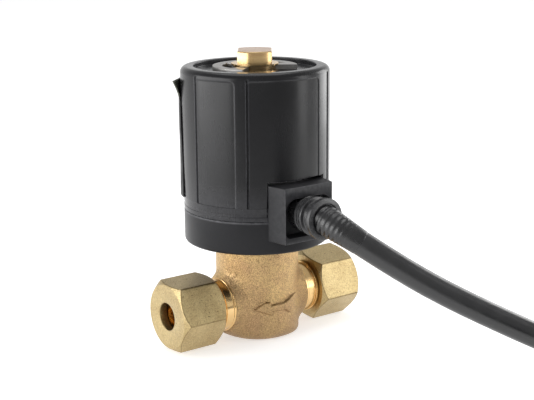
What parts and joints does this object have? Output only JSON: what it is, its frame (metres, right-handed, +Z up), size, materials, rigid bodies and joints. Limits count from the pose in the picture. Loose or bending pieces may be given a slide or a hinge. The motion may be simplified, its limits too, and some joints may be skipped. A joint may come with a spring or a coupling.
{
  "type": "gas solenoid valve",
  "caption": "Small brass in-line gas solenoid valve with a black moulded coil, compression nuts at both ends and a round lead that leaves the coil sideways.",
  "frame": {"origin": "centre of the body's flat foot, on the stem axis", "axes": "+Z up the stem, +X along the pipe towards the inlet, so gas flows to -X; the lead leaves the coil towards -Y"},
  "size_m": [0.0799, 0.1828, 0.0707],
  "materials": {
    "forged_brass": "as forged, fine shot-blasted grain, dull gold",
    "nut_brass": "milled bar, satin, slightly tarnished",
    "turned_brass": "bright turned, with fine lathe lines",
    "gauze_steel": "woven stainless gauze",
    "seal_rubber": "moulded nitrile, matt",
    "magnet_steel": "ground ferritic stainless steel",
    "spring_steel": "drawn stainless wire",
    "clip_steel": "stamped, zinc plated, grey",
    "coil_plastic": "moulded black, semi-gloss",
    "plate_steel": "zinc-plated mild steel",
    "bobbin_plastic": "natural glass-filled nylon",
    "winding_copper": "enamelled copper wire, packed",
    "core_insulation": "extruded, smooth",
    "grommet_rubber": "moulded, satin",
    "cable_sheath": "extruded, matt black",
    "tie_nylon": "moulded, satin",
    "tinned_copper": "tinned, crimped"
  },
  "bodies": {
    "valve": {"valve_body": "forged_brass", "armature_tube": "turned_brass", "tube_oring": "seal_rubber", "fixed_core": "magnet_steel", "retaining_clip": "clip_steel", "inlet_strainer": "gauze_steel"},
    "plunger": {"plunger": "magnet_steel", "seat_seal": "seal_rubber", "plunger_spring": "spring_steel"},
    "inlet_olive": {"inlet_olive": "turned_brass"},
    "inlet_nut": {"inlet_nut": "nut_brass"},
    "outlet_olive": {"outlet_olive": "turned_brass"},
    "outlet_nut": {"outlet_nut": "nut_brass"},
    "coil": {"coil_housing": "coil_plastic", "coil_base": "coil_plastic", "bottom_pole_plate": "plate_steel", "top_pole_plate": "plate_steel", "yoke_sleeve": "plate_steel", "coil_bobbin": "bobbin_plastic", "coil_winding": "winding_copper", "lead_wires": "core_insulation", "cable_grommet": "grommet_rubber", "cable": "cable_sheath", "cable_coil": "cable_sheath", "cable_tie": "tie_nylon", "cable_tail": "cable_sheath", "cable_cores": "core_insulation", "core_ferrules": "tinned_copper"}
  },
  "joints": [
    {"name": "plunger_lift", "type": "slide", "parent": "valve", "child": "plunger", "axis": [0, 0, 1], "range_m": [0, 0.002], "stiffness_N_per_m": 250, "springref_m": -0.004, "deforming": ["plunger_spring"]},
    {"name": "inlet_nut_travel", "type": "slide", "parent": "valve", "child": "inlet_olive", "axis": [1, 0, 0], "range_m": [0, 0.00636]},
    {"name": "inlet_nut_turn", "type": "hinge", "parent": "inlet_olive", "child": "inlet_nut", "pos_m": [0.0206, 0, 0.00895], "axis": [1, 0, 0], "range_deg": [0, 1800]},
    {"name": "outlet_nut_travel", "type": "slide", "parent": "valve", "child": "outlet_olive", "axis": [-1, 0, 0], "range_m": [0, 0.00636]},
    {"name": "outlet_nut_turn", "type": "hinge", "parent": "outlet_olive", "child": "outlet_nut", "pos_m": [-0.0206, 0, 0.00895], "axis": [-1, 0, 0], "range_deg": [0, 1800]},
    {"name": "coil_turn", "type": "hinge", "parent": "valve", "child": "coil", "pos_m": [0, 0, 0.045], "axis": [0, 0, 1], "range_deg": [-90, 90]}
  ],
  "couplings": [
    {"joint": "inlet_nut_travel", "follows": "inlet_nut_turn", "m_per_rad": 0.00020213},
    {"joint": "outlet_nut_travel", "follows": "outlet_nut_turn", "m_per_rad": 0.00020213}
  ]
}
